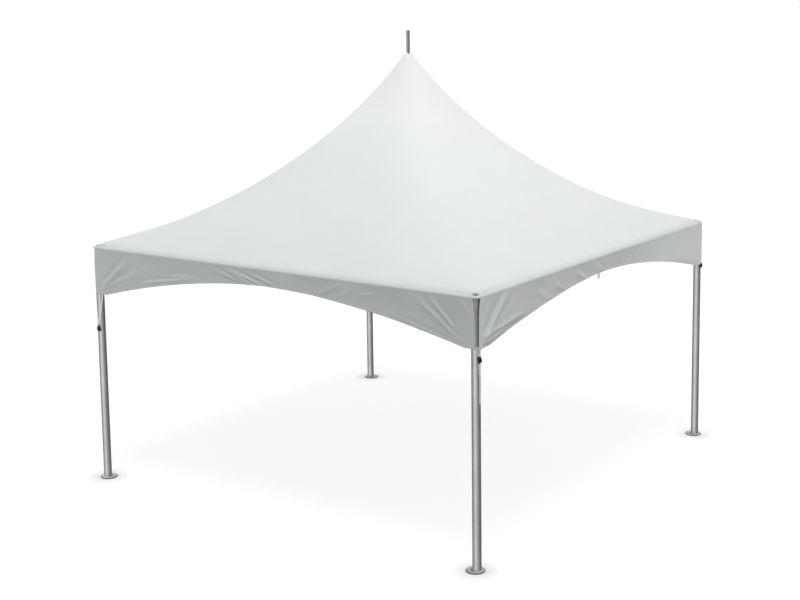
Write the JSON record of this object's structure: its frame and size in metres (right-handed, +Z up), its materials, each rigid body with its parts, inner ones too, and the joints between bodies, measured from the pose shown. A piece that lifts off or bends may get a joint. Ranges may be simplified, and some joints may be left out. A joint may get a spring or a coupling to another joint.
{
  "type": "marquee tent",
  "caption": "Square high-peak frame marquee: white vinyl roof drawn up to a centre mast, arched valances, round aluminium legs on base plates, open on every side",
  "frame": {"origin": "on the ground at the centre of the plan", "axes": "+Z up; the front face looks to -Y and the right face to +X; the mast stands on the Z axis"},
  "size_m": [4.633, 4.665, 4.52],
  "materials": {
    "aluminium_tube": "satin mill-finish extruded tube",
    "cast_aluminium": "dull cast surface",
    "plate_steel": "galvanised, dull grey",
    "wire_rope": "galvanised strands",
    "white_vinyl": "PVC-coated polyester, soft sheen",
    "white_webbing": "woven polyester webbing, matt",
    "black_buckle": "black coated, slight sheen"
  },
  "bodies": {
    "root": {"base_plate_back_left": "plate_steel", "base_plate_back_right": "plate_steel", "base_plate_front_left": "plate_steel", "base_plate_front_right": "plate_steel", "canopy_roof": "white_vinyl", "centre_mast": "aluminium_tube", "corner_fitting_back_left": "cast_aluminium", "corner_fitting_back_right": "cast_aluminium", "corner_fitting_front_left": "cast_aluminium", "corner_fitting_front_right": "cast_aluminium", "corner_strap_back_left": "white_webbing", "corner_strap_back_right": "white_webbing", "corner_strap_front_left": "white_webbing", "corner_strap_front_right": "white_webbing", "cross_cable_back_left": "wire_rope", "cross_cable_back_right": "wire_rope", "cross_cable_front_left": "wire_rope", "cross_cable_front_right": "wire_rope", "eave_beam_back": "aluminium_tube", "eave_beam_front": "aluminium_tube", "eave_beam_left": "aluminium_tube", "eave_beam_right": "aluminium_tube", "leg_back_left": "aluminium_tube", "leg_back_right": "aluminium_tube", "leg_cap_back_left": "cast_aluminium", "leg_cap_back_right": "cast_aluminium", "leg_cap_front_left": "cast_aluminium", "leg_cap_front_right": "cast_aluminium", "leg_front_left": "aluminium_tube", "leg_front_right": "aluminium_tube", "mast_hub": "cast_aluminium", "mast_rod": "aluminium_tube", "mast_tip": "aluminium_tube", "peak_collar": "white_vinyl", "peak_cone": "cast_aluminium", "strap_buckle_back_left": "black_buckle", "strap_buckle_back_right": "black_buckle", "strap_buckle_front_left": "black_buckle", "strap_buckle_front_right": "black_buckle", "strap_tail_front_right": "white_webbing", "valance_back": "white_vinyl", "valance_front": "white_vinyl", "valance_left": "white_vinyl", "valance_right": "white_vinyl", "valance_tie": "white_webbing"}
  },
  "joints": []
}
